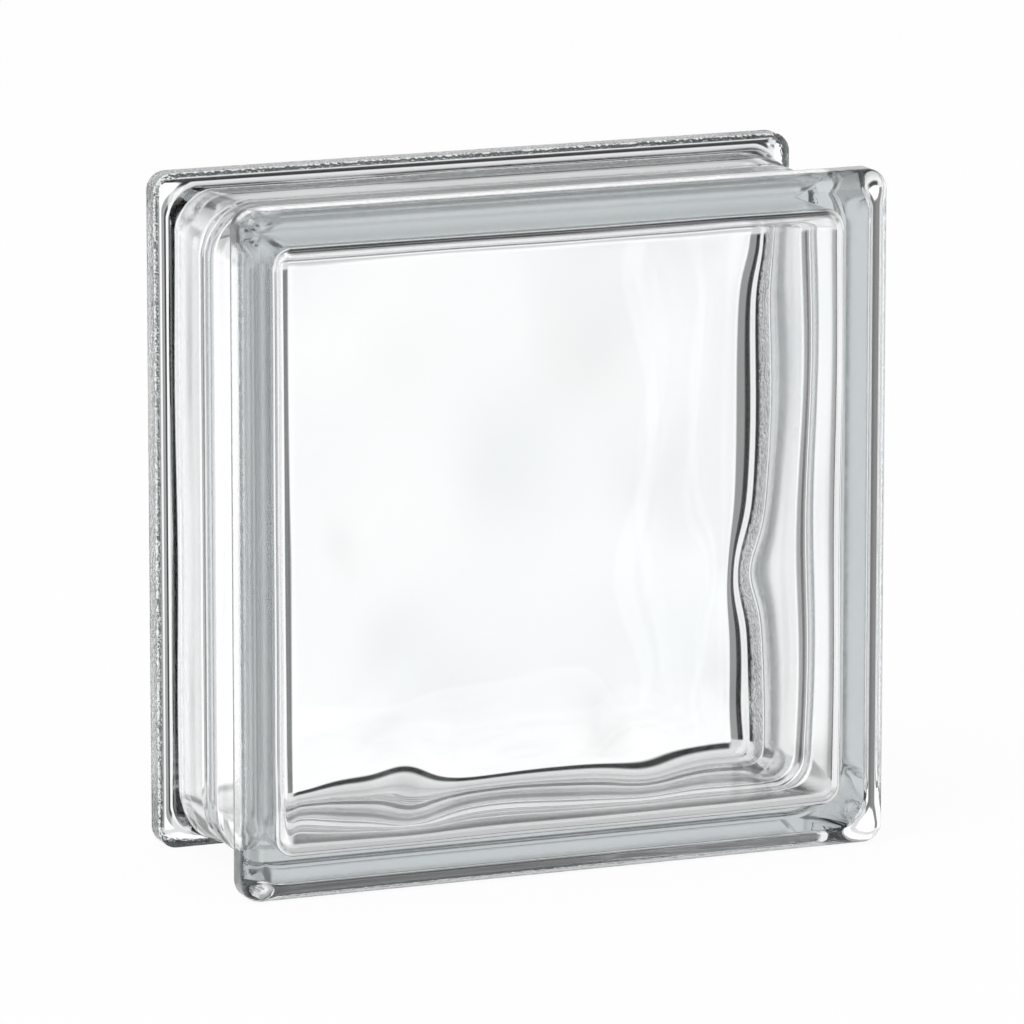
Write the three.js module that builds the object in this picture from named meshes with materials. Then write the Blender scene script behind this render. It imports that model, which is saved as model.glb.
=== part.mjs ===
// A hollow glass block of the 190 x 190 x 80 mm size, with waved inner faces.
//
// The real block is two pressed trays of clear glass, fused rim to rim at mid depth. Each tray is a
// face plate with a wall round it. The wall has a wide flange at the face and steps in behind it, so
// two trays together have a shallow mortar channel all the way round, with the fused rim's bead
// along its bottom. The air inside is sealed.
//
// Millimetres. +X across the face, +Y from the front face to the back face, +Z up. The origin is the
// middle of the base that the block stands on, half way between the faces. "Inset" is measured
// inwards from the flange's outside, and "depth" from the fused rim towards a face.

import * as THREE from 'three';

// Outside
const BLOCK_WIDTH = 190;
const BLOCK_HEIGHT = 190;
const BLOCK_DEPTH = 80;

// Flange at each face
const FACE_EDGE_RADIUS = 5.2; // rounding from the face to the flange's land
const LAND_WIDTH = 4.6; // flat outside of the flange, which mortar and spacers bear on
const LAND_EDGE_RADIUS = 0.6; // rounding from the land to the step
const FLANGE_CORNER_RADIUS = 5.5; // corner of the block, seen on the face

// Mortar channel between the flanges
const STEP_HEIGHT = 3.7; // from the land down to the channel
const STEP_FILLET_RADIUS = 2.3; // hollow corner at the foot of the step
const CHANNEL_DRAFT = 0.9; // how much deeper the channel is at the fused rim than at the step
const CHANNEL_CORNER_AT_STEP = 9;
const CHANNEL_CORNER_AT_RIM = 15;

// Bead of glass that the fusing squeezes out along the rim
const BEAD_HEIGHT = 0.8;
const BEAD_WIDTH = 5.8;

// Sealed hollow
const FACE_PLATE = 7.4; // glass between the face and the middle level of the waves
const RIM_WALL = 6.1; // glass at the fused rim, under the bead
const HOLLOW_DRAFT = 0.15; // how much narrower the hollow is, on each side, at the face plate
const HOLLOW_FILLET_ACROSS = 5.6; // rounding from the side wall to the face plate
const HOLLOW_FILLET_THROUGH = 5.1;
const HOLLOW_CORNER_AT_PLATE = 6;
const HOLLOW_CORNER_AT_RIM = 8;

// Waves pressed into the inside of each face plate: long swells that cross the whole plate, each with
// its own height, spacing, heading and phase, and a few dents near the walls, where the glass moved
// unevenly as it cooled. A dent's height is negative where the plate is thicker.
const SWELLS = [
  { height: 0.45, spacing: 95, heading: 15, phase: 30 },
  { height: 0.4, spacing: 85, heading: 110, phase: 80 },
  { height: 0.15, spacing: 45, heading: 150, phase: 165 },
];
const DENTS = [
  { across: -82, up: -69, height: 1.2, halfWidth: 9, halfHeight: 7 },
  { across: -45, up: -69, height: -1.2, halfWidth: 7, halfHeight: 7 },
  { across: -23, up: -68, height: 0.95, halfWidth: 24, halfHeight: 7 },
  { across: 24, up: -64, height: -0.85, halfWidth: 8, halfHeight: 7 },
  { across: 47, up: -14, height: 0.9, halfWidth: 7, halfHeight: 8 },
  { across: 49, up: 78, height: -0.6, halfWidth: 7, halfHeight: 7 },
];

// Facets
const CORNER_SEGMENTS = 8; // per corner of an outline
const ROUND_SEGMENTS = 4; // per quarter turn of an edge rounding
const PLATE_CELLS = 30; // across the waved face plate, between its corner cells
const WALL_BANDS = 3; // along the hollow's side walls

// Derived sizes
const HALF_DEPTH = BLOCK_DEPTH / 2;
const LAND_OUTER_DEPTH = HALF_DEPTH - FACE_EDGE_RADIUS;
const LAND_INNER_DEPTH = LAND_OUTER_DEPTH - LAND_WIDTH;
const STEP_DEPTH = LAND_INNER_DEPTH - LAND_EDGE_RADIUS;
const STEP_FILLET = Math.min(STEP_FILLET_RADIUS, STEP_HEIGHT - LAND_EDGE_RADIUS);
const CHANNEL_INSET_AT_RIM = STEP_HEIGHT + CHANNEL_DRAFT;
const HOLLOW_INSET_AT_RIM = CHANNEL_INSET_AT_RIM + RIM_WALL;
const HOLLOW_INSET_AT_PLATE = HOLLOW_INSET_AT_RIM + HOLLOW_DRAFT;
const PLATE_DEPTH = HALF_DEPTH - FACE_PLATE;

const radians = THREE.MathUtils.degToRad;

// Where a corner of an outline starts, as a share of the way from its middle to its end.
const CORNER_SHARE = 0.88;

// Maps a point of the square from -1 to 1 onto a rounded rectangle about the block's middle. The
// square's edge becomes the outline, and what lies inside it becomes smaller outlines of its kind.
function onOutline(u, v, inset, cornerRadius) {
  const ring = Math.max(Math.abs(u), Math.abs(v));
  if (ring === 0) return new THREE.Vector2(0, 0);
  const along = Math.min(Math.abs(u), Math.abs(v)) / ring;
  const straight = Math.min(along / CORNER_SHARE, 1);
  const turn = (Math.max(along - CORNER_SHARE, 0) / (1 - CORNER_SHARE)) * radians(45);
  const upright = Math.abs(u) >= Math.abs(v);
  const angle = upright ? turn : radians(90) - turn;
  const centreX = BLOCK_WIDTH / 2 - inset - cornerRadius;
  const centreZ = BLOCK_HEIGHT / 2 - inset - cornerRadius;
  const x = centreX * (upright ? 1 : straight) + cornerRadius * Math.cos(angle);
  const z = centreZ * (upright ? straight : 1) + cornerRadius * Math.sin(angle);
  return new THREE.Vector2(Math.sign(u) * x * ring, Math.sign(v) * z * ring);
}

// Stations along one side of the square, from -1 to 1: the corner cells at each end, and between
// them the given number of equal cells.
function sideStations(cells) {
  const cornerCells = CORNER_SEGMENTS / 2;
  const stations = [];
  for (let i = 0; i < cornerCells; i += 1) {
    stations.push(-1 + ((1 - CORNER_SHARE) * i) / cornerCells);
  }
  for (let i = 0; i <= cells; i += 1) stations.push(CORNER_SHARE * ((2 * i) / cells - 1));
  for (let i = 1; i <= cornerCells; i += 1) {
    stations.push(CORNER_SHARE + ((1 - CORNER_SHARE) * i) / cornerCells);
  }
  return stations;
}

// The square's edge, once round, anticlockwise from its lower left corner.
function squareEdge(stations) {
  const side = stations.slice(0, -1);
  return [
    ...side.map((s) => [s, -1]),
    ...side.map((s) => [1, s]),
    ...side.map((s) => [-s, 1]),
    ...side.map((s) => [-1, -s]),
  ];
}

// How far a plate's inside lies towards its face (+) or away from it (-) at a place, against its
// middle level.
function waveHeight(x, z) {
  const swells = SWELLS.map(({ height, spacing, heading, phase }) => {
    const along = x * Math.cos(radians(heading)) + z * Math.sin(radians(heading));
    return height * Math.sin((radians(360) * along) / spacing + radians(phase));
  });
  const dents = DENTS.map(({ across, up, height, halfWidth, halfHeight }) => {
    const reach = ((x - across) / halfWidth) ** 2 + ((z - up) / halfHeight) ** 2;
    return height * Math.exp(-reach / 2);
  });
  return [...swells, ...dents].reduce((sum, height) => sum + height, 0);
}

// Outside of the wall as one profile of (inset, depth), from the face to the fused rim.
function outsideProfile() {
  const beadHalf = BEAD_WIDTH / 2;
  const beadRadius = (BEAD_HEIGHT ** 2 + beadHalf ** 2) / (2 * BEAD_HEIGHT);
  const beadAngle = Math.asin(beadHalf / beadRadius);
  const beadCentre = CHANNEL_INSET_AT_RIM - BEAD_HEIGHT + beadRadius;
  return [
    ...arc(FACE_EDGE_RADIUS, LAND_OUTER_DEPTH, FACE_EDGE_RADIUS, 90, 180),
    ...arc(LAND_EDGE_RADIUS, LAND_INNER_DEPTH, LAND_EDGE_RADIUS, 180, 270),
    ...arc(STEP_HEIGHT - STEP_FILLET, STEP_DEPTH - STEP_FILLET, STEP_FILLET, 90, 0),
    ...arc(beadCentre, 0, beadRadius, 180 - THREE.MathUtils.radToDeg(beadAngle), 180),
  ];
}

// Points of an arc, in (inset, depth), from one angle to another in degrees.
function arc(inset, depth, radius, from, to, radiusThrough = radius) {
  const sweep = [radians(from), radians(to), to < from];
  const curve = new THREE.EllipseCurve(inset, depth, radius, radiusThrough, ...sweep);
  return curve.getPoints(ROUND_SEGMENTS);
}

// Corner radius of the outside's outline at a point of its profile: the flange keeps its own corner,
// the step turns it into the channel's rounder one, and that grows rounder still towards the rim.
function outsideCorner({ x: inset, y: depth }) {
  if (depth >= LAND_INNER_DEPTH) return FLANGE_CORNER_RADIUS - inset;
  const footDepth = STEP_DEPTH - STEP_FILLET;
  if (depth >= footDepth) {
    return THREE.MathUtils.lerp(FLANGE_CORNER_RADIUS, CHANNEL_CORNER_AT_STEP, inset / STEP_HEIGHT);
  }
  return THREE.MathUtils.lerp(CHANNEL_CORNER_AT_RIM, CHANNEL_CORNER_AT_STEP, depth / footDepth);
}

// Collects the points and triangles of one closed skin.
class Skin {
  points = [];
  triangles = [];

  addPoint(x, y, z) {
    this.points.push(x, y, z);
    return this.points.length / 3 - 1;
  }

  // One outline of the given inset and corner radius, at a depth that may follow the waves.
  addRing(edge, inset, cornerRadius, depth, waveShare = 0) {
    return edge.map(([u, v]) => {
      const { x, y: z } = onOutline(u, v, inset, cornerRadius);
      return this.addPoint(x, -depth - waveShare * waveHeight(x, z), z);
    });
  }

  // A band between two rings of the same count, facing outwards where the first is nearer the face.
  band(first, second) {
    first.forEach((a, i) => {
      const next = (i + 1) % first.length;
      this.triangles.push(a, second[next], first[next], a, second[i], second[next]);
    });
  }

  // A flat sheet inside one ring, less the hole that a second ring leaves in it.
  sheet(ring, hole, facesFront) {
    const flat = (indices) => indices.map(
      (i) => new THREE.Vector2(this.points[3 * i], this.points[3 * i + 2]),
    );
    const indices = [...ring, ...hole];
    const holes = hole.length > 0 ? [flat(hole)] : [];
    for (const [a, b, c] of THREE.ShapeUtils.triangulateShape(flat(ring), holes)) {
      const triangle = facesFront ? [a, b, c] : [a, c, b];
      this.triangles.push(...triangle.map((i) => indices[i]));
    }
  }

  geometry() {
    const geometry = new THREE.BufferGeometry();
    geometry.setAttribute('position', new THREE.Float32BufferAttribute(this.points, 3));
    geometry.setIndex(this.triangles);
    geometry.computeVertexNormals();
    return geometry;
  }
}

// The flange, step, channel and half bead: the whole outside, lofted along its profile.
function addOutside(skin) {
  const edge = squareEdge(sideStations(1));
  const rings = outsideProfile().map((point) => (
    skin.addRing(edge, point.x, outsideCorner(point), point.y)
  ));
  rings.slice(1).forEach((ring, i) => skin.band(rings[i], ring));
  skin.sheet(rings[0], [], true);
  return rings.at(-1);
}

// The waved face plate, as a net of cells whose own edge is a ring of the fillet.
function addWavedPlate(skin, stations, edgeRing, inset, cornerRadius) {
  const last = stations.length - 1;
  const edgeIndex = (i, j) => {
    if (j === 0) return edgeRing[i];
    if (i === last) return edgeRing[last + j];
    if (j === last) return edgeRing[3 * last - i];
    return i === 0 ? edgeRing[4 * last - j] : undefined;
  };
  const net = stations.map((u, i) => stations.map((v, j) => {
    const known = edgeIndex(i, j);
    if (known !== undefined) return known;
    const { x, y: z } = onOutline(u, v, inset, cornerRadius);
    return skin.addPoint(x, -PLATE_DEPTH - waveHeight(x, z), z);
  }));
  for (let i = 0; i < last; i += 1) {
    for (let j = 0; j < last; j += 1) {
      const [a, b, c, d] = [net[i][j], net[i + 1][j], net[i + 1][j + 1], net[i][j + 1]];
      skin.triangles.push(a, c, b, a, d, c);
    }
  }
}

// The hollow's side walls, its fillet and the waved plate.
function addHollow(skin) {
  const stations = sideStations(PLATE_CELLS);
  const edge = squareEdge(stations);
  const wallEnd = PLATE_DEPTH - HOLLOW_FILLET_THROUGH;
  const rings = [];
  for (let i = 0; i <= WALL_BANDS; i += 1) {
    const share = i / WALL_BANDS;
    const inset = THREE.MathUtils.lerp(HOLLOW_INSET_AT_RIM, HOLLOW_INSET_AT_PLATE, share);
    const corner = THREE.MathUtils.lerp(HOLLOW_CORNER_AT_RIM, HOLLOW_CORNER_AT_PLATE, share);
    rings.push(skin.addRing(edge, inset, corner, wallEnd * share, share));
  }
  const filletCentre = HOLLOW_INSET_AT_PLATE + HOLLOW_FILLET_ACROSS;
  const fillet = arc(filletCentre, wallEnd, HOLLOW_FILLET_ACROSS, 180, 90, HOLLOW_FILLET_THROUGH).slice(1);
  const cornerAt = (inset) => Math.max(
    HOLLOW_CORNER_AT_PLATE - (inset - HOLLOW_INSET_AT_PLATE), HOLLOW_CORNER_AT_PLATE / 4,
  );
  for (const { x: inset, y: depth } of fillet) {
    rings.push(skin.addRing(edge, inset, cornerAt(inset), depth, 1));
  }
  rings.slice(1).forEach((ring, i) => skin.band(rings[i], ring));
  addWavedPlate(skin, stations, rings.at(-1), filletCentre, cornerAt(filletCentre));
  return rings[0];
}

// One pressed tray, its face towards -Y and its rim in the plane y = 0, about the block's middle.
function trayGeometry() {
  const skin = new Skin();
  const outerRim = addOutside(skin);
  const innerRim = addHollow(skin);
  skin.sheet(outerRim, innerRim, false);
  return skin.geometry();
}

function clearGlass() {
  return new THREE.MeshStandardMaterial({
    color: 0xe3ebe8, roughness: 0.04, metalness: 0, transparent: true, opacity: 0.35,
  });
}

function tray(name) {
  const mesh = new THREE.Mesh(trayGeometry(), clearGlass());
  mesh.name = name;
  mesh.position.z = BLOCK_HEIGHT / 2;
  return mesh;
}

// Both trays come out of one mould, and one is turned round to meet the other.
const frontShell = tray('front_shell');
const backShell = tray('back_shell');
backShell.rotation.z = Math.PI;

const glassBlock = new THREE.Group();
glassBlock.add(frontShell, backShell);

export default glassBlock;
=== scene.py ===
"""Hollow glass block, 190 x 190 x 80 mm, fused from two pressed trays.

The block is one closed skin of clear glass. Its outside has a rounded edge, a stippled land, a step
and a shallow mortar channel round each face. Its sealed hollow has two waved plates and four walls
that are very slightly dull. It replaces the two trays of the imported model, which share its section,
and stands on a pale floor.
Sizes are in millimetres unless a name says otherwise.
"""

from __future__ import annotations

import logging
import math
from dataclasses import dataclass, field
from enum import Enum

import bpy
import numpy as np
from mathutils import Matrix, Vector


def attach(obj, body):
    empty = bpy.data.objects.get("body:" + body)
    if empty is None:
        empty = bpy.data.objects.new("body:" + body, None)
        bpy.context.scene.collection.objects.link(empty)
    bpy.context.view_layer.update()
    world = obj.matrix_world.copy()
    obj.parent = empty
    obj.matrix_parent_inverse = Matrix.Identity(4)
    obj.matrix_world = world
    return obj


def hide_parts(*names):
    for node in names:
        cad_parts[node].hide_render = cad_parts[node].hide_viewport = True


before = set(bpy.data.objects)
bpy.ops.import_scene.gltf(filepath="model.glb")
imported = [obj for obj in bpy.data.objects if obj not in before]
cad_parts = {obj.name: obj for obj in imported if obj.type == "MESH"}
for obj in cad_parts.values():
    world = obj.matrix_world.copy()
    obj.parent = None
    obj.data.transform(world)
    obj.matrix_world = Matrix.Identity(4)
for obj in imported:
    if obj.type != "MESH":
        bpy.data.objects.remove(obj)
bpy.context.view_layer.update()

LOG = logging.getLogger("glass_block")
MM = 0.001
FRAME_PIXELS = 1024
SENSOR_MM = 36.0
STRAIGHT_DOWN, STRAIGHT_UP = -90.0, 90.0
HALF_TURN = 180.0
STIPPLE_LAYER = "stipple"
CHILL_LAYER = "chill"

Array = np.ndarray
Socket = bpy.types.NodeSocket
Tree = bpy.types.NodeTree


class Tray(Enum):
    """One of the two pressed trays, by the side of the fused seam that it lies on."""

    FRONT = -1
    BACK = 1


class Turn(Enum):
    """Which way round the faces of a band or sheet are wound."""

    OUTWARD = 1
    INWARD = -1


@dataclass(frozen=True)
class Ring:
    """One line round the block, parallel to its faces.

    Args:
        inset: distance in from the block's side.
        depth: distance from the fused seam at mid depth.
        corner: radius of the ring's four corners.
        wave: share of the plate's waves that moves this ring.
        stipple: how strongly the land's stipple shows here, from 0 to 1.
        chill: how much of the press's chill dulls the glass here, from 0 to 1.
    """

    inset: float
    depth: float
    corner: float
    wave: float = 0.0
    stipple: float = 0.0
    chill: float = 0.0


@dataclass(frozen=True)
class RoundedSquare:
    """Map from a plain square onto the block's square with rounded corners.

    Args:
        half_width: half the block's width.
        half_height: half the block's height.
        corner_share: share of each half side that stays straight, before the corner starts.
        guard: share of a half side that the narrow cell at each end of the straight part takes.
    """

    half_width: float = 95.0
    half_height: float = 95.0
    corner_share: float = 0.88
    guard: float = 0.006

    def point(self, u: Array, v: Array, inset: float | Array, corner: float) -> tuple[Array, Array]:
        """Places points of the plain square.

        Args:
            u: positions across, from -1 to 1.
            v: positions up, from -1 to 1.
            inset: distance in from the block's side.
            corner: radius of the outline's corners there.

        Returns:
            The points' x and z, measured from the middle of the face.
        """
        ring = np.maximum(np.abs(u), np.abs(v))
        along = np.minimum(np.abs(u), np.abs(v)) / np.where(ring == 0, 1, ring)
        straight = np.minimum(along / self.corner_share, 1)
        turn = np.maximum(along - self.corner_share, 0) / (1 - self.corner_share) * math.pi / 4
        on_side = np.abs(u) >= np.abs(v)
        angle = np.where(on_side, turn, math.pi / 2 - turn)
        reach_x, reach_z = self.half_width - inset - corner, self.half_height - inset - corner
        x = reach_x * np.where(on_side, 1, straight) + corner * np.cos(angle)
        z = reach_z * np.where(on_side, straight, 1) + corner * np.sin(angle)
        return np.sign(u) * x * ring, np.sign(v) * z * ring

    def stations(self, corner_cells: int, side_cells: int) -> Array:
        """Positions along one side, close together round the corners.

        Args:
            corner_cells: cells in each half corner.
            side_cells: cells along the straight part.

        Returns:
            Rising positions from -1 to 1, with a guard cell at each end of the straight part.
        """
        turn = np.linspace(self.corner_share, 1, corner_cells + 1)[1:]
        inner = self.corner_share - self.guard
        straight = np.linspace(-inner, inner, side_cells + 1)
        end = np.array([self.corner_share])
        return np.concatenate([-turn[::-1], -end, straight, end, turn])

    @staticmethod
    def edge(stations: Array) -> tuple[Array, Array]:
        """Walks once round the plain square.

        Args:
            stations: positions along one side.

        Returns:
            The positions across and up of each point on the way.
        """
        side, end = stations[:-1], np.ones(len(stations) - 1)
        return np.concatenate([side, end, -side, -end]), np.concatenate([-end, side, end, -side])


@dataclass
class Skin:
    """Collects the points and faces of one closed mesh."""

    points: list[Array] = field(default_factory=list)
    faces: list[Array] = field(default_factory=list)
    caps: list[list[int]] = field(default_factory=list)
    stipple: list[Array] = field(default_factory=list)
    chill: list[Array] = field(default_factory=list)
    count: int = 0

    def add(self, x: Array, y: Array, z: Array, stipple: float = 0.0, chill: float = 0.0) -> Array:
        """Adds points.

        Args:
            x: positions across.
            y: positions through the block.
            z: positions up.
            stipple: how strongly the land's stipple shows at them.
            chill: how much the press's chill dulls them.

        Returns:
            The points' numbers.
        """
        numbers = np.arange(self.count, self.count + len(x))
        self.points.append(np.stack([x, y, z], axis=-1))
        self.stipple.append(np.full(len(x), stipple))
        self.chill.append(np.full(len(x), chill))
        self.count += len(x)
        return numbers

    def quads(self, a: Array, b: Array, c: Array, d: Array, turn: Turn) -> None:
        """Adds four-sided faces.

        Args:
            a: first corners.
            b: second corners.
            c: third corners.
            d: fourth corners.
            turn: the way round that the faces are wound.
        """
        order = (a, b, c, d) if turn is Turn.OUTWARD else (a, d, c, b)
        self.faces.append(np.stack(order, axis=-1))

    def band(self, first: Array, second: Array, turn: Turn) -> None:
        """Joins two closed rings of as many points.

        Args:
            first: the ring nearer the front, or nearer the seam inside a tray.
            second: the next ring.
            turn: the way round that the faces are wound.
        """
        self.quads(first, second, np.roll(second, -1), np.roll(first, -1), turn)

    def cap(self, ring: Array) -> None:
        """Closes a ring with one flat face."""
        self.caps.append([int(number) for number in ring])

    def mesh(self, name: str, raise_by: float) -> bpy.types.Mesh:
        """Makes the Blender mesh.

        Every face is smooth, because absorption only starts and stops where the faces of one
        skin are all shaded alike; narrow guard rings keep the flat places flat.

        Args:
            name: the mesh's name.
            raise_by: how far up the points are moved.

        Returns:
            The mesh, in metres.
        """
        points = np.concatenate(self.points)
        points[:, 2] += raise_by
        quads = np.concatenate(self.faces).tolist()
        mesh = bpy.data.meshes.new(name)
        mesh.from_pydata((points * MM).tolist(), [], quads + self.caps)
        mesh.polygons.foreach_set("use_smooth", [True] * len(mesh.polygons))
        for label, values in ((STIPPLE_LAYER, self.stipple), (CHILL_LAYER, self.chill)):
            layer = mesh.attributes.new(label, "FLOAT", "POINT")
            layer.data.foreach_set("value", np.concatenate(values).astype(np.float32))
        mesh.validate()
        mesh.update()
        return mesh


def arc(inset: float, depth: float, radius: float, start: float, end: float,
        cells: int) -> list[tuple[float, float]]:
    """Samples an arc of the section.

    Args:
        inset: the centre's inset.
        depth: the centre's depth.
        radius: the arc's radius.
        start: first angle in degrees.
        end: last angle in degrees.
        cells: straight pieces that the arc is cut into.

    Returns:
        Pairs of inset and depth along the arc.
    """
    angles = np.radians(np.linspace(start, end, cells + 1))
    return [(inset + radius * math.cos(a), depth + radius * math.sin(a)) for a in angles]


@dataclass(frozen=True)
class Outside:
    """Section of the outside, from the face over the land and step to the fused bead.

    A guard is the width of the narrow band that lies between a rounding and the flat beside it, and
    keeps the flat shaded as a flat. The cells are the straight pieces that each part is cut into.
    The stipple's reach is the share of the rounded edge over which it fades out.
    """

    half_depth: float = 40.0
    face_edge_radius: float = 5.2
    land_width: float = 4.6
    land_edge_radius: float = 0.6
    flange_corner_radius: float = 5.5
    step_height: float = 3.7
    step_fillet_radius: float = 2.3
    channel_draft: float = 0.9
    channel_corner_at_step: float = 9.0
    channel_corner_at_rim: float = 15.0
    bead_height: float = 0.8
    bead_width: float = 5.8
    edge_cells: int = 10
    fillet_cells: int = 5
    channel_cells: int = 6
    guard: float = 0.3
    foot_guard_share: float = 0.02
    least_corner: float = 0.8
    stipple_reach: float = 0.5

    @property
    def rim_inset(self) -> float:
        """Inset of the channel's floor beside the fused seam."""
        return self.step_height + self.channel_draft

    @property
    def land_inner(self) -> float:
        """Depth at which the land ends and its inner edge starts to turn."""
        return self.half_depth - self.face_edge_radius - self.land_width

    @property
    def foot(self) -> float:
        """Depth at which the step's fillet meets the channel's floor."""
        return self.land_inner - self.land_edge_radius - self.fillet

    @property
    def fillet(self) -> float:
        """Radius of the step's fillet, never more than the step leaves room for."""
        return min(self.step_fillet_radius, self.step_height - self.land_edge_radius)

    def corner(self, inset: float, depth: float) -> float:
        """Corner radius of the outline at a point of the section.

        Args:
            inset: the point's inset.
            depth: the point's depth.

        Returns:
            The radius of the ring's corners.
        """
        if depth > self.half_depth - self.face_edge_radius:
            return max(self.flange_corner_radius - inset, self.least_corner)
        if depth >= self.land_inner:
            return self.flange_corner_radius
        if depth >= self.foot:
            growth = self.channel_corner_at_step - self.flange_corner_radius
            return self.flange_corner_radius + growth * inset / self.step_height
        change = self.channel_corner_at_step - self.channel_corner_at_rim
        return self.channel_corner_at_rim + change * (depth / self.foot)

    def bead(self) -> tuple[float, float, float]:
        """The fused bead's arc, as its centre's inset, its radius and its half angle in degrees."""
        half = self.bead_width / 2
        radius = (self.bead_height**2 + half**2) / (2 * self.bead_height)
        half_angle = math.degrees(math.asin(half / radius))
        return self.rim_inset - self.bead_height + radius, radius, half_angle

    def rings(self) -> list[Ring]:
        """Rings of one tray's outside, with its stipple on the land and the edges beside it.

        Returns:
            The rings from the face to the middle of the bead.
        """
        edge, land = self.face_edge_radius, self.half_depth - self.face_edge_radius
        inner, fillet, lip = self.land_inner, self.fillet, self.land_edge_radius
        section = [(edge + self.guard, self.half_depth, 0.0)]
        turned = arc(edge, land, edge, 90, 180, self.edge_cells)
        section += [(i, d, max(1 - i / (edge * self.stipple_reach), 0.0)) for i, d in turned]
        section += [(0.0, land - self.guard, 1.0), (0.0, inner + self.guard, 1.0)]
        section += [(i, d, 1.0) for i, d in arc(lip, inner, lip, 180, 270, self.fillet_cells)]
        middle = (self.step_height - fillet, inner - lip - fillet)
        section += [(i, d, 0.0) for i, d in arc(*middle, fillet, 90, 0, self.fillet_cells)]
        centre, radius, half_angle = self.bead()
        half_bead = self.bead_width / 2
        for share in np.linspace(0, 1, self.channel_cells + 1)[:-1]:
            share = max(float(share), self.foot_guard_share)
            depth = self.foot + (half_bead - self.foot) * share
            section.append((self.step_height + self.channel_draft * share, depth, 0.0))
        bead = arc(centre, 0, radius, 180 - half_angle, 180, self.fillet_cells)
        section += [(i, d, 0.0) for i, d in bead]
        return [Ring(i, d, self.corner(i, d), stipple=s) for i, d, s in section]


@dataclass(frozen=True)
class Hollow:
    """Section of one tray's inside, from the fused rim down the wall to the face plate.

    The press chills the whole wall, and the chill fades over the fillet towards the plate.
    """

    face_plate: float = 7.4
    rim_wall: float = 6.1
    draft: float = 0.15
    fillet_across: float = 5.6
    fillet_through: float = 5.1
    corner_at_plate: float = 6.0
    corner_at_rim: float = 8.0
    least_corner: float = 1.5
    wall_cells: int = 8
    fillet_cells: int = 10

    def rings(self, outside: Outside) -> list[Ring]:
        """Rings of one tray's inside.

        Args:
            outside: the outside that the wall's thickness is measured from.

        Returns:
            The rings from the fused rim to the plate's flat start.
        """
        at_rim = outside.rim_inset + self.rim_wall
        at_plate = at_rim + self.draft
        plate_depth = outside.half_depth - self.face_plate
        wall_end = plate_depth - self.fillet_through
        rings = []
        for share in np.linspace(0, 1, self.wall_cells + 1).tolist():
            corner = self.corner_at_rim + (self.corner_at_plate - self.corner_at_rim) * share
            inset = at_rim + self.draft * share
            rings.append(Ring(inset, wall_end * share, corner, wave=share, chill=1.0))
        for a in np.radians(np.linspace(180, 90, self.fillet_cells + 1))[1:]:
            inset = at_plate + self.fillet_across * (1 + math.cos(a))
            depth = wall_end + self.fillet_through * math.sin(a)
            corner = max(self.corner_at_plate - (inset - at_plate), self.least_corner)
            rings.append(Ring(inset, depth, corner, 1.0, chill=-math.cos(a)))
        return rings


@dataclass(frozen=True)
class Swell:
    """One long wave of a pressed plate.

    Args:
        height: rise over the mean surface.
        spacing: distance from crest to crest.
        heading: direction that it runs in, in degrees from across.
        phase: where it starts, in degrees.
    """

    height: float
    spacing: float
    heading: float
    phase: float


@dataclass(frozen=True)
class Dent:
    """One local rise or hollow of a pressed plate.

    Args:
        across: its middle across the face.
        up: its middle up the face, from the face's middle.
        height: its rise, which is negative for a hollow.
        half_width: its reach across.
        half_height: its reach up.
    """

    across: float
    up: float
    height: float
    half_width: float
    half_height: float


@dataclass(frozen=True)
class PressedWaves:
    """The waved inside of a face plate: long swells that cross, and a few local dents."""

    swells: tuple[Swell, ...] = (
        Swell(height=0.45, spacing=95, heading=15, phase=30),
        Swell(height=0.40, spacing=85, heading=110, phase=80),
        Swell(height=0.15, spacing=45, heading=150, phase=165),
    )
    dents: tuple[Dent, ...] = (
        Dent(across=-82, up=-69, height=1.20, half_width=9, half_height=7),
        Dent(across=-45, up=-69, height=-1.20, half_width=7, half_height=7),
        Dent(across=-23, up=-68, height=0.95, half_width=24, half_height=7),
        Dent(across=24, up=-64, height=-0.85, half_width=8, half_height=7),
        Dent(across=47, up=-14, height=0.90, half_width=7, half_height=8),
        Dent(across=49, up=78, height=-0.60, half_width=7, half_height=7),
    )

    def rise(self, x: Array, z: Array) -> Array:
        """How far the plate's inner surface rises towards the face.

        Args:
            x: positions across the front tray.
            z: positions up, from the face's middle.

        Returns:
            The rise at each point.
        """
        total = np.zeros_like(x)
        for swell in self.swells:
            heading = math.radians(swell.heading)
            way = x * math.cos(heading) + z * math.sin(heading)
            turn = 2 * math.pi * way / swell.spacing + math.radians(swell.phase)
            total += swell.height * np.sin(turn)
        for dent in self.dents:
            across, up = (x - dent.across) / dent.half_width, (z - dent.up) / dent.half_height
            total += dent.height * np.exp(-(across**2 + up**2) / 2)
        return total


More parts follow.
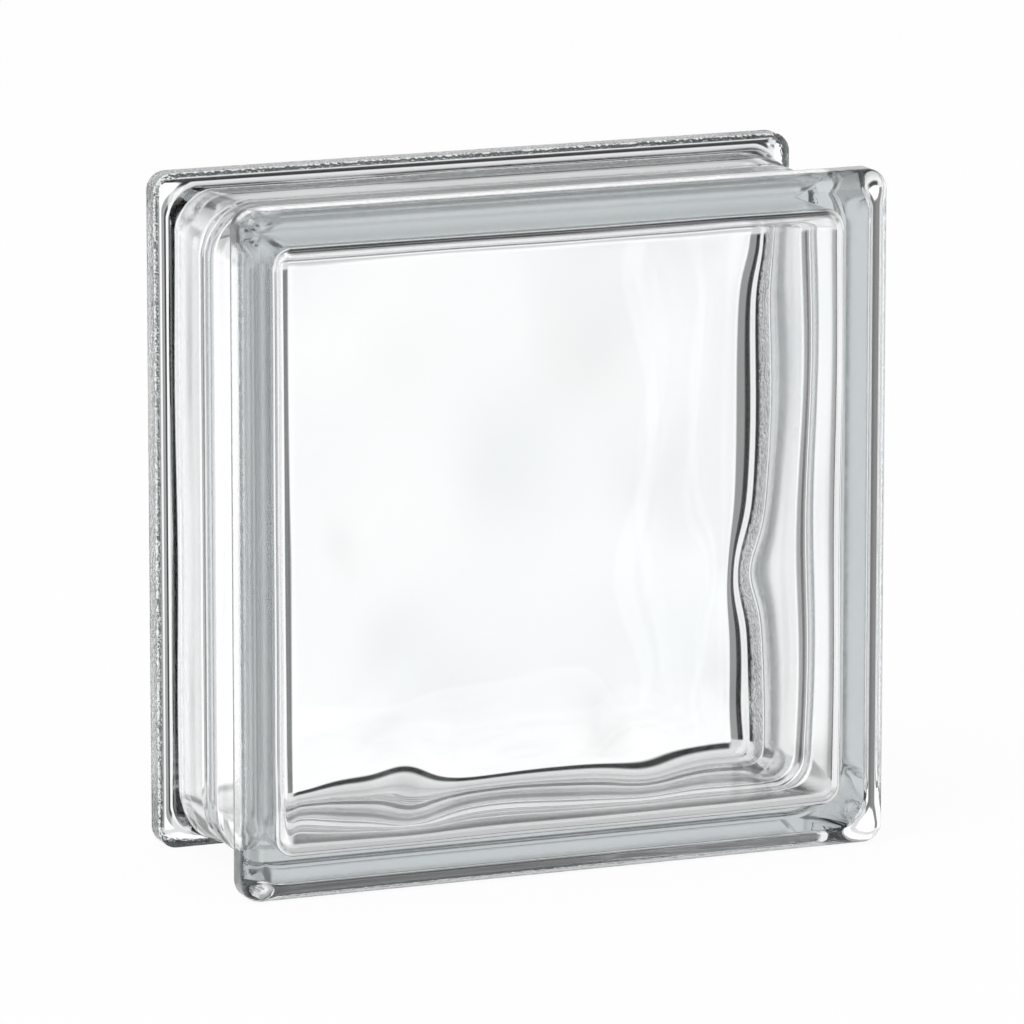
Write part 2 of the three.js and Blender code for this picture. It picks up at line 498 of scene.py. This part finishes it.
@dataclass(frozen=True)
class SoftMottle:
    """Node group of cloudy and fine grain: the glass's clouds of painted shade and its stipple, and
    the floor's mottle.
    """

    name: str = "soft_mottle"
    cloud_detail: float = 0.0
    grain_detail: float = 0.0
    fine_ratio: float = 9.0
    narrow: tuple[float, float] = (0.35, 0.65)

    def group(self) -> Tree:
        """Builds the group once.

        Returns:
            The group, with Coordinates, Scale, Low and High in, and Value and Grain out.
        """
        found = bpy.data.node_groups.get(self.name)
        if found:
            return found
        tree = bpy.data.node_groups.new(self.name, "ShaderNodeTree")
        for label, kind in (
            ("Coordinates", "NodeSocketVector"),
            ("Scale", "NodeSocketFloat"),
            ("Low", "NodeSocketFloat"),
            ("High", "NodeSocketFloat"),
        ):
            tree.interface.new_socket(name=label, in_out="INPUT", socket_type=kind)
        for label in ("Value", "Grain"):
            tree.interface.new_socket(name=label, in_out="OUTPUT", socket_type="NodeSocketFloat")
        new, link = tree.nodes.new, tree.links.new
        given, made = new("NodeGroupInput"), new("NodeGroupOutput")
        cloud, grain = new("ShaderNodeTexNoise"), new("ShaderNodeTexNoise")
        cloud.inputs["Detail"].default_value = self.cloud_detail
        grain.inputs["Detail"].default_value = self.grain_detail
        finer = new("ShaderNodeMath")
        finer.operation = "MULTIPLY"
        finer.inputs[1].default_value = self.fine_ratio
        spread = new("ShaderNodeMapRange")
        spread.inputs["From Min"].default_value = self.narrow[0]
        spread.inputs["From Max"].default_value = self.narrow[1]
        link(given.outputs["Coordinates"], cloud.inputs["Vector"])
        link(given.outputs["Coordinates"], grain.inputs["Vector"])
        link(given.outputs["Scale"], cloud.inputs["Scale"])
        link(given.outputs["Scale"], finer.inputs[0])
        link(finer.outputs[0], grain.inputs["Scale"])
        link(cloud.outputs["Fac"], spread.inputs["Value"])
        link(given.outputs["Low"], spread.inputs["To Min"])
        link(given.outputs["High"], spread.inputs["To Max"])
        link(spread.outputs["Result"], made.inputs["Value"])
        link(grain.outputs["Fac"], made.inputs["Grain"])
        return tree

    def place(self, tree: Tree, coordinates: Socket, scale: float,
              low: float = 0.0, high: float = 1.0) -> bpy.types.Node:
        """Places the group in a material with its own values.

        Args:
            tree: the material's nodes.
            coordinates: the socket that the pattern is laid out by.
            scale: clouds to the metre.
            low: the value in the thinnest cloud.
            high: the value in the thickest cloud.

        Returns:
            The group's node.
        """
        node = tree.nodes.new("ShaderNodeGroup")
        node.node_tree = self.group()
        tree.links.new(coordinates, node.inputs["Coordinates"])
        node.inputs["Scale"].default_value = scale
        node.inputs["Low"].default_value = low
        node.inputs["High"].default_value = high
        return node


@dataclass(frozen=True)
class ClearGlass:
    """Finish of the block: clear pressed glass with stippled lands and dulled walls."""

    name: str = "clear_glass"
    refraction: float = 1.52
    # Painted shade: the glass's colour dims a little in random soft clouds, standing in for the faint
    # shading that reflections and the waved plates give the window.
    painted_shade_low: tuple[float, float, float] = (0.965, 0.972, 0.976)
    painted_shade_high: tuple[float, float, float] = (1.0, 1.0, 1.0)
    absorbed_colour: tuple[float, float, float] = (0.0, 0.075, 0.09)
    absorption: float = 9.0
    painted_shade_scale: float = 24.0
    frost: float = 0.06
    wall_frost: float = 0.12
    grain_scale: float = 150.0
    grain_relief_mm: float = 0.45

    def material(self) -> bpy.types.Material:
        """Builds the material.

        Returns:
            The glass, with its absorption, faint clouds of painted shade in its colour, stippled
            lands and dulled walls.
        """
        made = bpy.data.materials.new(self.name)
        made.use_nodes = True
        tree = made.node_tree
        new, link = tree.nodes.new, tree.links.new
        shader, output = tree.nodes["Principled BSDF"], tree.nodes["Material Output"]
        shader.inputs["Transmission Weight"].default_value = 1.0
        shader.inputs["IOR"].default_value = self.refraction
        place = new("ShaderNodeTexCoord").outputs["Object"]
        # Painted shade: random soft grey clouds mixed into the glass's base colour.
        cloud = SoftMottle().place(tree, place, self.painted_shade_scale)
        painted_shade = new("ShaderNodeMix")
        painted_shade.data_type = "RGBA"
        painted_shade.inputs["A"].default_value = (*self.painted_shade_low, 1.0)
        painted_shade.inputs["B"].default_value = (*self.painted_shade_high, 1.0)
        link(cloud.outputs["Value"], painted_shade.inputs["Factor"])
        link(painted_shade.outputs["Result"], shader.inputs["Base Color"])
        self.frost_lands(tree, place, shader)
        volume = new("ShaderNodeVolumeAbsorption")
        volume.inputs["Color"].default_value = (*self.absorbed_colour, 1.0)
        volume.inputs["Density"].default_value = self.absorption
        link(volume.outputs["Volume"], output.inputs["Volume"])
        return made

    def frost_lands(self, tree: Tree, place: Socket, shader: bpy.types.Node) -> None:
        """Stipples the lands, dulls the chilled walls, and leaves the rest fire-polished.

        Args:
            tree: the material's nodes.
            place: the socket that the pattern is laid out by.
            shader: the glass.
        """
        new, link = tree.nodes.new, tree.links.new
        grain = SoftMottle().place(tree, place, self.grain_scale)
        mask, chill = new("ShaderNodeAttribute"), new("ShaderNodeAttribute")
        mask.attribute_name, chill.attribute_name = STIPPLE_LAYER, CHILL_LAYER
        dull, shown, both = (new("ShaderNodeMath") for _ in range(3))
        dull.operation, shown.operation, both.operation = "MULTIPLY", "MULTIPLY", "MULTIPLY_ADD"
        dull.inputs[1].default_value = self.frost
        both.inputs[1].default_value = self.wall_frost
        link(mask.outputs["Fac"], dull.inputs[0])
        link(chill.outputs["Fac"], both.inputs[0])
        link(dull.outputs[0], both.inputs[2])
        link(both.outputs[0], shader.inputs["Roughness"])
        link(grain.outputs["Grain"], shown.inputs[0])
        link(mask.outputs["Fac"], shown.inputs[1])
        bump = new("ShaderNodeBump")
        bump.inputs["Distance"].default_value = self.grain_relief_mm * MM
        link(shown.outputs[0], bump.inputs["Height"])
        link(bump.outputs["Normal"], shader.inputs["Normal"])


@dataclass
class GlassBlock:
    """The fused block, built as one closed skin with a sealed hollow."""

    plan: RoundedSquare = field(default_factory=RoundedSquare)
    outside: Outside = field(default_factory=Outside)
    hollow: Hollow = field(default_factory=Hollow)
    waves: PressedWaves = field(default_factory=PressedWaves)
    finish: ClearGlass = field(default_factory=ClearGlass)
    name: str = "glass_block"
    corner_cells: int = 8
    outside_cells: int = 48
    plate_cells: int = 128
    front_stipple: float = 0.12

    def ring(self, skin: Skin, ring: Ring, walk: tuple[Array, Array], tray: Tray) -> Array:
        """Adds one ring to the skin, with a fainter stipple on the front tray than on the back one.

        Args:
            skin: the skin that is being built.
            ring: the ring's place in the section.
            walk: the way round the plain square.
            tray: the tray that the ring belongs to.

        Returns:
            The ring's point numbers.
        """
        x, z = self.plan.point(*walk, ring.inset, ring.corner)
        depth = ring.depth + ring.wave * self.rise(x, z, tray)
        share = self.front_stipple if tray is Tray.FRONT else 1.0
        return skin.add(x, tray.value * depth, z, ring.stipple * share, ring.chill)

    def rise(self, x: Array, z: Array, tray: Tray) -> Array:
        """The waves at a tray's plate, the back tray being the front one turned round.

        Args:
            x: positions across.
            z: positions up, from the face's middle.
            tray: the tray.

        Returns:
            The rise towards that tray's own face.
        """
        return self.waves.rise(-tray.value * x, z)

    def add_outside(self, skin: Skin) -> None:
        """Adds the outside from the front face to the back face."""
        walk = self.plan.edge(self.plan.stations(self.corner_cells, self.outside_cells))
        section = self.outside.rings()
        front = [self.ring(skin, ring, walk, Tray.FRONT) for ring in section]
        back = [self.ring(skin, ring, walk, Tray.BACK) for ring in section[:-1]]
        whole = front + back[::-1]
        for first, second in zip(whole[:-1], whole[1:]):
            skin.band(first, second, Turn.OUTWARD)
        skin.cap(whole[0])
        skin.cap(whole[-1][::-1])

    def add_hollow(self, skin: Skin) -> None:
        """Adds the sealed hollow: two walls that share the fused rim, and two waved plates."""
        stations = self.plan.stations(self.corner_cells, self.plate_cells)
        walk = self.plan.edge(stations)
        section = self.hollow.rings(self.outside)
        rim = self.ring(skin, section[0], walk, Tray.FRONT)
        for tray, turn in ((Tray.FRONT, Turn.OUTWARD), (Tray.BACK, Turn.INWARD)):
            rings = [rim] + [self.ring(skin, ring, walk, tray) for ring in section[1:]]
            for first, second in zip(rings[:-1], rings[1:]):
                skin.band(first, second, turn)
            self.add_plate(skin, stations, section[-1], rings[-1], tray)

    def add_plate(self, skin: Skin, stations: Array, start: Ring, edge: Array, tray: Tray) -> None:
        """Adds the waved inside of one face plate.

        Args:
            skin: the skin that is being built.
            stations: positions along one side.
            start: the last ring of the fillet, which the plate starts at.
            edge: that ring's point numbers.
            tray: the tray that the plate belongs to.
        """
        across, up = np.meshgrid(stations, stations, indexing="ij")
        x, z = self.plan.point(across, up, start.inset, start.corner)
        x, z = x[1:-1, 1:-1].ravel(), z[1:-1, 1:-1].ravel()
        inner = skin.add(x, tray.value * (start.depth + self.rise(x, z, tray)), z)
        last = len(stations) - 1
        net = np.zeros((last + 1, last + 1), dtype=int)
        net[1:-1, 1:-1] = inner.reshape(last - 1, last - 1)
        net[:-1, 0] = edge[:last]
        net[last, :-1] = edge[last:2 * last]
        net[1:, last] = edge[2 * last:3 * last][::-1]
        net[0, 1:] = edge[3 * last:][::-1]
        turn = Turn.INWARD if tray is Tray.FRONT else Turn.OUTWARD
        corners = (net[:-1, :-1], net[1:, :-1], net[1:, 1:], net[:-1, 1:])
        skin.quads(*(corner.ravel() for corner in corners), turn)

    def build(self) -> bpy.types.Object:
        """Builds the block.

        Returns:
            The block's object, standing on the floor.
        """
        skin = Skin()
        self.add_outside(skin)
        self.add_hollow(skin)
        piece = bpy.data.objects.new(self.name, skin.mesh(self.name, self.plan.half_height))
        bpy.context.scene.collection.objects.link(piece)
        return piece

    def dress(self, piece: bpy.types.Object) -> None:
        """Gives the block its glass and its place in the frame."""
        piece.data.materials.append(self.finish.material())
        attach(piece, "root")
        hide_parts("front_shell", "back_shell")


@dataclass(frozen=True)
class PaleFloor:
    """Finish of the floor: near white, with the block's faint shadow on it."""

    name: str = "pale_floor"
    colour_low: tuple[float, float, float] = (0.80, 0.80, 0.81)
    colour_high: tuple[float, float, float] = (0.84, 0.84, 0.84)
    white: tuple[float, float, float] = (0.993, 0.993, 0.993)
    seen_white: float = 0.95
    mottle_scale: float = 5.0

    def material(self) -> bpy.types.Material:
        """Builds the material.

        Returns:
            A dull pale surface that the camera sees nearly white.
        """
        made = bpy.data.materials.new(self.name)
        made.use_nodes = True
        tree = made.node_tree
        new, link = tree.nodes.new, tree.links.new
        shader, output = tree.nodes["Principled BSDF"], tree.nodes["Material Output"]
        shader.inputs["Roughness"].default_value = 1.0
        shader.inputs["Specular IOR Level"].default_value = 0.0
        place = new("ShaderNodeTexCoord").outputs["Object"]
        mottle = SoftMottle().place(tree, place, self.mottle_scale)
        colour = new("ShaderNodeMix")
        colour.data_type = "RGBA"
        colour.inputs["A"].default_value = (*self.colour_low, 1.0)
        colour.inputs["B"].default_value = (*self.colour_high, 1.0)
        link(mottle.outputs["Value"], colour.inputs["Factor"])
        link(colour.outputs["Result"], shader.inputs["Base Color"])
        white = new("ShaderNodeEmission")
        white.inputs["Color"].default_value = (*self.white, 1.0)
        ray = new("ShaderNodeLightPath")
        seen = new("ShaderNodeMath")
        seen.operation = "MULTIPLY"
        seen.inputs[1].default_value = self.seen_white
        link(ray.outputs["Is Camera Ray"], seen.inputs[0])
        blend = new("ShaderNodeMixShader")
        link(seen.outputs[0], blend.inputs["Fac"])
        link(shader.outputs["BSDF"], blend.inputs[1])
        link(white.outputs["Emission"], blend.inputs[2])
        link(blend.outputs["Shader"], output.inputs["Surface"])
        return made


@dataclass(frozen=True)
class Card:
    """One soft-edged panel of the surroundings, which the glass sees but the camera doesn't.

    Args:
        azimuth: its middle, in degrees from straight through the block towards the right.
        elevation: its middle, in degrees above level.
        half_width: half its width in degrees.
        half_height: half its height in degrees.
        softness: width of its fading edge in degrees.
        tone: its brightness, where 1 is white.
    """

    azimuth: float
    elevation: float
    half_width: float
    half_height: float
    softness: float
    tone: float


@dataclass(frozen=True)
class SoftCard:
    """Node group that masks one card by direction.

    The fade's share is how much of a soft edge lies on either side of the card's own edge.
    """

    name: str = "soft_card"
    numbers: tuple[str, ...] = (
        "Azimuth", "Elevation", "Across", "Up", "Half Width", "Half Height", "Softness",
    )
    fade_share: float = 0.5

    def fade(self, tree: Tree, offset: Socket, half: Socket, softness: Socket) -> Socket:
        """Fades from 1 inside a half size to 0 outside it.

        Args:
            tree: the group's nodes.
            offset: the angle from the card's middle.
            half: the card's half size.
            softness: the width of the fade.

        Returns:
            The mask's socket.
        """
        away, edge, ramp = (tree.nodes.new("ShaderNodeMath") for _ in range(3))
        away.operation, edge.operation, ramp.operation = "ABSOLUTE", "SUBTRACT", "DIVIDE"
        smooth = tree.nodes.new("ShaderNodeMapRange")
        smooth.interpolation_type = "SMOOTHSTEP"
        smooth.inputs["From Min"].default_value = -self.fade_share
        smooth.inputs["From Max"].default_value = self.fade_share
        tree.links.new(offset, away.inputs[0])
        tree.links.new(half, edge.inputs[0])
        tree.links.new(away.outputs[0], edge.inputs[1])
        tree.links.new(edge.outputs[0], ramp.inputs[0])
        tree.links.new(softness, ramp.inputs[1])
        tree.links.new(ramp.outputs[0], smooth.inputs["Value"])
        return smooth.outputs["Result"]

    def group(self) -> Tree:
        """Builds the group once.

        Returns:
            The group, with angles in degrees in and Mask out.
        """
        found = bpy.data.node_groups.get(self.name)
        if found:
            return found
        tree = bpy.data.node_groups.new(self.name, "ShaderNodeTree")
        for label in self.numbers:
            tree.interface.new_socket(name=label, in_out="INPUT", socket_type="NodeSocketFloat")
        tree.interface.new_socket(name="Mask", in_out="OUTPUT", socket_type="NodeSocketFloat")
        new, link = tree.nodes.new, tree.links.new
        given, made = new("NodeGroupInput"), new("NodeGroupOutput")
        across, turned, up, both = (new("ShaderNodeMath") for _ in range(4))
        across.operation, up.operation, both.operation = "SUBTRACT", "SUBTRACT", "MULTIPLY"
        turned.operation = "WRAP"
        turned.inputs[1].default_value, turned.inputs[2].default_value = HALF_TURN, -HALF_TURN
        link(given.outputs["Azimuth"], across.inputs[0])
        link(given.outputs["Across"], across.inputs[1])
        link(across.outputs[0], turned.inputs[0])
        link(given.outputs["Elevation"], up.inputs[0])
        link(given.outputs["Up"], up.inputs[1])
        softness = given.outputs["Softness"]
        for slot, (offset, half) in enumerate(((turned, "Half Width"), (up, "Half Height"))):
            mask = self.fade(tree, offset.outputs[0], given.outputs[half], softness)
            link(mask, both.inputs[slot])
        link(both.outputs[0], made.inputs["Mask"])
        return tree

    def place(self, tree: Tree, azimuth: Socket, elevation: Socket, card: Card) -> Socket:
        """Places the group for one card.

        Args:
            tree: the world's nodes.
            azimuth: the direction's azimuth in degrees.
            elevation: the direction's elevation in degrees.
            card: the card.

        Returns:
            The card's mask.
        """
        node = tree.nodes.new("ShaderNodeGroup")
        node.node_tree = self.group()
        tree.links.new(azimuth, node.inputs["Azimuth"])
        tree.links.new(elevation, node.inputs["Elevation"])
        node.inputs["Across"].default_value = card.azimuth
        node.inputs["Up"].default_value = card.elevation
        node.inputs["Half Width"].default_value = card.half_width
        node.inputs["Half Height"].default_value = card.half_height
        node.inputs["Softness"].default_value = card.softness
        return node.outputs["Mask"]


@dataclass
class Studio:
    """Floor, soft light and white surroundings with the cards that draw the glass's edges.

    The tones are pairs of an elevation in degrees and the surroundings' brightness there.
    """

    floor_finish: PaleFloor = field(default_factory=PaleFloor)
    floor_reach: float = 6.0
    white: tuple[float, float, float] = (0.99, 0.99, 0.99)
    tones: tuple[tuple[float, float], ...] = (
        (-90, 0.65), (-50, 0.78), (-30, 1.05), (-10, 1.20), (5, 1.12), (15, 1.18), (30, 1.08),
        (48, 0.50), (70, 0.05),
    )
    cards: tuple[Card, ...] = (
        Card(azimuth=158, elevation=-10, half_width=12, half_height=12, softness=6, tone=0.12),
        Card(azimuth=-20, elevation=-12, half_width=18, half_height=20, softness=5, tone=1.35),
        Card(azimuth=27, elevation=-4, half_width=22, half_height=24, softness=14, tone=0.84),
        Card(azimuth=8, elevation=-12.5, half_width=4.5, half_height=4.5, softness=2.5, tone=0.20),
        Card(azimuth=37.5, elevation=-12.5, half_width=8, half_height=4.5, softness=3, tone=0.36),
        Card(azimuth=-70, elevation=-12.5, half_width=18, half_height=4.5, softness=3, tone=0.35),
        Card(azimuth=47, elevation=-12.5, half_width=5, half_height=4.5, softness=2.5, tone=0.0),
        Card(azimuth=22, elevation=-24, half_width=8, half_height=5, softness=6, tone=0.0),
        Card(azimuth=30, elevation=51, half_width=28, half_height=10, softness=9, tone=0.0),
        Card(azimuth=31, elevation=32, half_width=20, half_height=11, softness=9, tone=0.40),
        Card(azimuth=21, elevation=13, half_width=9, half_height=10, softness=6, tone=1.25),
        Card(azimuth=21, elevation=-12, half_width=9, half_height=7.5, softness=3.5, tone=1.31),
        Card(azimuth=25, elevation=-10.5, half_width=2, half_height=2, softness=4, tone=1.20),
    )
    lamp_watts: float = 30.0
    lamp_size: float = 1.6
    lamp_place: tuple[float, float, float] = (-1.3, -0.9, 2.3)

    def build_floor(self) -> bpy.types.Object:
        """Makes the floor, which is there for the camera and for the block's shadow.

        Returns:
            The floor's object.
        """
        reach = self.floor_reach
        corners = [(-reach, -reach, 0), (reach, -reach, 0), (reach, reach, 0), (-reach, reach, 0)]
        mesh = bpy.data.meshes.new("floor")
        mesh.from_pydata(corners, [], [(0, 1, 2, 3)])
        mesh.materials.append(self.floor_finish.material())
        floor = bpy.data.objects.new("floor", mesh)
        bpy.context.scene.collection.objects.link(floor)
        floor.visible_transmission = False
        floor.visible_glossy = False
        return floor

    def build_lamp(self) -> bpy.types.Object:
        """Makes the soft lamp overhead.

        Returns:
            The lamp's object.
        """
        data = bpy.data.lights.new("softbox", "AREA")
        data.energy, data.size = self.lamp_watts, self.lamp_size
        lamp = bpy.data.objects.new("softbox", data)
        bpy.context.scene.collection.objects.link(lamp)
        lamp.location = self.lamp_place
        lamp.rotation_euler = (-Vector(self.lamp_place)).to_track_quat("-Z", "Y").to_euler()
        return lamp

    def angles(self, tree: Tree) -> tuple[Socket, Socket]:
        """Works out where a ray of light comes from.

        Args:
            tree: the world's nodes.

        Returns:
            Sockets of the azimuth and the elevation in degrees.
        """
        new, link = tree.nodes.new, tree.links.new
        way = new("ShaderNodeSeparateXYZ")
        link(new("ShaderNodeTexCoord").outputs["Generated"], way.inputs["Vector"])
        round_about, rise = new("ShaderNodeMath"), new("ShaderNodeMath")
        round_about.operation, rise.operation = "ARCTAN2", "ARCSINE"
        link(way.outputs["X"], round_about.inputs[0])
        link(way.outputs["Y"], round_about.inputs[1])
        link(way.outputs["Z"], rise.inputs[0])
        found = []
        for angle in (round_about, rise):
            degrees = new("ShaderNodeMath")
            degrees.operation = "DEGREES"
            link(angle.outputs[0], degrees.inputs[0])
            found.append(degrees.outputs[0])
        return found[0], found[1]

    def height_tone(self, tree: Tree, elevation: Socket) -> Socket:
        """Makes the plain surroundings, whose tone depends on height alone.

        Args:
            tree: the world's nodes.
            elevation: the direction's elevation in degrees.

        Returns:
            The colour's socket.
        """
        height = tree.nodes.new("ShaderNodeMapRange")
        height.inputs["From Min"].default_value = STRAIGHT_DOWN
        height.inputs["From Max"].default_value = STRAIGHT_UP
        tree.links.new(elevation, height.inputs["Value"])
        ramp = tree.nodes.new("ShaderNodeValToRGB")
        stops = ramp.color_ramp.elements
        while len(stops) < len(self.tones):
            stops.new(1.0)
        for stop, (angle, tone) in zip(stops, self.tones):
            stop.position = (angle - STRAIGHT_DOWN) / (STRAIGHT_UP - STRAIGHT_DOWN)
            stop.color = (tone, tone, tone, 1.0)
        tree.links.new(height.outputs["Result"], ramp.inputs["Fac"])
        return ramp.outputs["Color"]

    def build_world(self) -> bpy.types.World:
        """Makes the surroundings: white to the camera and floor, toned to the glass.

        They are lit by no samples of their own, because rays that miss the block hit them anyway.

        Returns:
            The world.
        """
        world = bpy.data.worlds.new("studio")
        bpy.context.scene.world = world
        world.use_nodes = True
        tree = world.node_tree
        new, link = tree.nodes.new, tree.links.new
        azimuth, elevation = self.angles(tree)
        colour = self.height_tone(tree, elevation)
        for card in self.cards:
            over = new("ShaderNodeMix")
            over.data_type = "RGBA"
            link(SoftCard().place(tree, azimuth, elevation, card), over.inputs["Factor"])
            link(colour, over.inputs["A"])
            over.inputs["B"].default_value = (card.tone, card.tone, card.tone, 1.0)
            colour = over.outputs["Result"]
        toned, plain = tree.nodes["Background"], new("ShaderNodeBackground")
        link(colour, toned.inputs["Color"])
        plain.inputs["Color"].default_value = (*self.white, 1.0)
        ray, either = new("ShaderNodeLightPath"), new("ShaderNodeMath")
        seen = new("ShaderNodeMixShader")
        either.operation = "MAXIMUM"
        link(ray.outputs["Is Camera Ray"], either.inputs[0])
        link(ray.outputs["Is Diffuse Ray"], either.inputs[1])
        link(either.outputs[0], seen.inputs["Fac"])
        link(toned.outputs["Background"], seen.inputs[1])
        link(plain.outputs["Background"], seen.inputs[2])
        link(seen.outputs["Shader"], tree.nodes["World Output"].inputs["Surface"])
        world.cycles.sampling_method = "NONE"
        return world


@dataclass(frozen=True)
class Viewpoint:
    """The camera: where it stands round the block and how long its lens is."""

    azimuth: float = 22.134
    elevation: float = 11.852
    distance: float = 2455.0
    focal_pixels: float = 8887.4
    target: tuple[float, float, float] = (-1.33, 0.0, 94.13)
    nearest_m: float = 0.1
    farthest_m: float = 100.0

    def build(self) -> bpy.types.Object:
        """Makes the camera and gives it to the scene.

        Returns:
            The camera's object.
        """
        azimuth, elevation = math.radians(self.azimuth), math.radians(self.elevation)
        level = math.cos(elevation)
        back = Vector((-math.sin(azimuth) * level, -math.cos(azimuth) * level, math.sin(elevation)))
        data = bpy.data.cameras.new("camera")
        data.sensor_width = SENSOR_MM
        data.lens = self.focal_pixels / FRAME_PIXELS * SENSOR_MM
        data.clip_start, data.clip_end = self.nearest_m, self.farthest_m
        camera = bpy.data.objects.new("camera", data)
        bpy.context.scene.collection.objects.link(camera)
        camera.location = (Vector(self.target) + back * self.distance) * MM
        camera.rotation_euler = (-back).to_track_quat("-Z", "Y").to_euler()
        bpy.context.scene.camera = camera
        return camera


@dataclass(frozen=True)
class LightPaths:
    """How many surfaces a ray of light may meet, enough to guide it along the whole wall."""

    in_all: int = 20
    through_glass: int = 20
    mirrored: int = 16

    def apply(self) -> None:
        """Sets the limits, and keeps colours as they are written."""
        scene = bpy.context.scene
        scene.view_settings.view_transform = "Standard"
        scene.cycles.max_bounces = self.in_all
        scene.cycles.transmission_bounces = self.through_glass
        scene.cycles.glossy_bounces = self.mirrored


def main() -> None:
    """Builds the camera, the block and the studio, and reports each."""
    logging.basicConfig(level=logging.INFO, format="%(name)s: %(message)s")
    LOG.info("camera: %s", Viewpoint().build().name)
    block = GlassBlock()
    piece = block.build()
    block.dress(piece)
    mesh = piece.data
    LOG.info("%s: %d points, %d faces", piece.name, len(mesh.vertices), len(mesh.polygons))
    studio = Studio()
    for stage in (studio.build_floor(), studio.build_lamp(), studio.build_world()):
        LOG.info("studio: %s", stage.name)
    LightPaths().apply()


if __name__ == "__main__":
    main()
